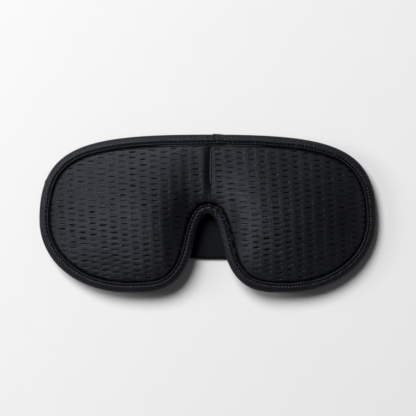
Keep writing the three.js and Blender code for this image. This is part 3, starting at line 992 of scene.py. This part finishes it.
def thick_band(name, rows, across, thickness, material, relief=0.0):
    """A band of that thickness over its middle surface, with rounded sides.

    relief is how much further than that its underside reaches at each point.
    """
    normal = np.cross(np.gradient(rows, axis=1), np.gradient(rows, axis=0))
    normal /= np.linalg.norm(normal, axis=2)[:, :, None]
    from_side = np.clip((1 - np.abs(across) / np.abs(across).max()) * len(across) / 5, 0, 1)
    half = thickness / 2 * (1 - 0.75 * (1 - from_side) ** 2.5)
    upper = rows + normal * half[None, :, None]
    lower = rows - normal * (half[None, :] + relief * from_side[None, :])[:, :, None]
    rings = np.concatenate([upper, lower[:, ::-1]], axis=1)
    run = run_along(rows.mean(axis=1))
    uv = np.stack(np.meshgrid(run, np.concatenate([across, across[::-1]]), indexing="ij"), axis=-1)
    return swept(name, rings, material, uv)


def left_lift(x):
    """The left strap rises onto its patch there."""
    return PATCH_LIFT * float(smooth(-36, -6, x))


def no_lift(x):
    """The right strap lies flat on the table."""
    return 0.0


def make_strap(name, fold, line, lift, nodes):
    """A strap through its fold, baked in place."""
    rows, across = strap_surface(fold, line, lift)
    strap = thick_band(name, rows, across, STRAP_THICKNESS, ELASTIC)
    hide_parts(*nodes)
    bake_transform(strap)


make_strap("left_strap", LEFT_FOLD, LEFT_LINE, left_lift,
           ("strap_left", "strap_sewn_end_left"))
make_strap("right_strap", RIGHT_FOLD, RIGHT_LINE, no_lift,
           ("strap_right", "strap_sewn_end_right"))


# ---- The closure: a loop patch under the left strap's end, a hook patch on the right one's ----
def end_stretch(line, length, end_margin, step):
    """The last stretch of a strap's middle line, that long, stopping short of its end."""
    run = run_along(line)
    end = run[-1] - end_margin
    at = np.linspace(end - length, end, round(length / step) + 1)
    return points_at(line, at, run)


def patch_rows(line, length, z, step):
    """A patch's middle surface, with rounded corners, and the places of its points across it."""
    middle = end_stretch(line, length, PATCH_END_MARGIN, step)
    side = leftwards(middle)
    from_end = np.minimum(run_along(middle), run_along(middle[::-1])[::-1])
    corner = PATCH_CORNER - np.clip(from_end, 0, PATCH_CORNER)
    width = PATCH_WIDTH / 2 - PATCH_CORNER + np.sqrt(PATCH_CORNER**2 - corner**2)
    across = np.linspace(-1, 1, round(PATCH_WIDTH / step) + 1)
    place = middle[:, None] + side[:, None] * (width[:, None] * across[None, :])[:, :, None]
    rows = np.concatenate([place, np.full((*place.shape[:2], 1), z)], axis=2)
    return rows, across * PATCH_WIDTH / 2


def make_loop_patch():
    """Brushed loops, facing down at rest."""
    top = cad_box_mm("loop_patch")[1][2]
    rows, across = patch_rows(LEFT_LINE, LOOP_LENGTH, top - LOOP_MIDDLE, LOOP_STEP)
    x, y = rows[:, :, 0], rows[:, :, 1]
    curls = np.random.default_rng(4).uniform(-1, 1, x.shape)
    relief = 0.14 + 0.09 * ripple(x, y, 1.7, 31) + 0.06 * ripple(x, y, 5, 32) + 0.07 * curls
    patch = thick_band("loop_pile", rows, across, LOOP_THICKNESS, LOOP_PILE, relief)
    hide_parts("loop_patch")
    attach(patch, "left_strap")


def hook_rings(place, along):
    """One bent hook standing at that place and leaning along that direction."""
    ring = []
    for (forward, up), radius in zip(HOOK_PATH, HOOK_RADIUS):
        for corner in range(4):
            turn = math.pi * (corner + 0.5) / 2
            beside = radius * math.cos(turn)
            ahead = forward + radius * math.sin(turn)
            x = place[0] + along[0] * ahead - along[1] * beside
            y = place[1] + along[1] * ahead + along[0] * beside
            ring.append((x, y, place[2] + up))
    return ring


def make_hook_patch():
    """A flat tape with rows of small moulded hooks, every other row facing the other way."""
    bottom = cad_box_mm("hook_patch")[0][2]
    top = bottom + HOOK_BASE
    rows, across = patch_rows(RIGHT_LINE, HOOK_LENGTH, bottom + HOOK_BASE / 2, step=1.0)
    base = thick_band("hook_tape", rows, across, HOOK_BASE, HOOK_PLASTIC)
    margin = PATCH_STITCH_INSET + 1.2  # the hooks keep clear of the stitches
    length = HOOK_LENGTH - 2 * margin
    middle = end_stretch(RIGHT_LINE, length, PATCH_END_MARGIN + margin, HOOK_PITCH[0])
    along = tangents(middle)
    reach = PATCH_WIDTH / 2 - margin
    points = []
    for i, sideways in enumerate(np.arange(-reach, reach, HOOK_PITCH[1])):
        facing = 1 if i % 2 else -1
        for place, direction in zip(middle, along):
            beside = place + sideways * np.array([-direction[1], direction[0]])
            points.append(hook_rings((*beside, top), direction * facing))
    rings = len(HOOK_PATH)
    faces = []
    for i in range(len(points)):
        first = i * rings * 4
        faces.append(quads(rings, 4, columns_close=True, first=first)[:, ::-1])
        faces.append(np.array([[0, 1, 2, 3]]) + first)
        faces.append(np.array([[3, 2, 1, 0]]) + first + (rings - 1) * 4)
    points = np.array(points).reshape(-1, 3)
    hooks = mesh_object("hooks", points, np.vstack(faces), HOOK_PLASTIC, points[:, :2])
    hooks.parent = base
    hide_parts("hook_patch")
    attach(base, "right_strap")


def straight(a, b, steps=12):
    """Points on the straight line from a to b."""
    return np.array(a) + (np.array(b) - np.array(a)) * np.linspace(0, 1, steps)[:, None]


def loop_of_lines(path):
    """The path's sides, from corner to corner and back to the first."""
    return [straight(a, b) for a, b in zip(path, [*path[1:], path[0]])]


def patch_stitches(name, node, line, length, z, body):
    """Stitches round a patch, just inside its edge."""
    inset = PATCH_STITCH_INSET
    middle = end_stretch(line, length - 2 * inset, PATCH_END_MARGIN + inset, step=2.0)
    side = leftwards(middle) * (PATCH_WIDTH / 2 - inset)
    level = np.full(len(middle), z)
    near, far = (np.column_stack([middle + side * facing, level]) for facing in (1, -1))
    lines = [near, straight(near[-1], far[-1]), far[::-1], straight(far[0], near[0])]
    row = stitches(name, lines, (0, 0, 1))
    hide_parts(node)
    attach(row, body)


def tack_stitches(name, node, fold, body):
    """The box of stitches through a strap's sewn end, seen on its underside."""
    reach = STRAP_WIDTH / 2 - TACK_INSET
    corners = []
    for share, sideways in ((0.2, 1), (0.9, 1), (0.9, -1), (0.2, -1)):
        x = fold["x"] + fold["inward"] * SEWN_LENGTH * share
        z = 2 * fold["radius"] + edge_plane(x) - edge_plane(fold["x"])
        corners.append((x, fold["y"] + sideways * reach, z - THREAD_STAND))
    crossed = [straight(corners[0], corners[2]), straight(corners[1], corners[3])]
    lines = [*loop_of_lines(corners), *crossed]
    tack = stitches(name, lines, (0, 0, -1))
    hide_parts(node)
    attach(tack, body)


make_loop_patch()
make_hook_patch()
LOOP_STITCH_Z = PATCH_LIFT + STRAP_THICKNESS + THREAD_STAND
patch_stitches("loop_stitches", "loop_patch_stitch", LEFT_LINE, LOOP_LENGTH, LOOP_STITCH_Z, "left_strap")
HOOK_STITCH_Z = cad_box_mm("hook_patch")[0][2] + HOOK_BASE + THREAD_STAND
patch_stitches("hook_stitches", "hook_patch_stitch", RIGHT_LINE, HOOK_LENGTH, HOOK_STITCH_Z, "right_strap")
tack_stitches("tack_left", "strap_tack_left", LEFT_FOLD, "left_half")
tack_stitches("tack_right", "strap_tack_right", RIGHT_FOLD, "right_half")
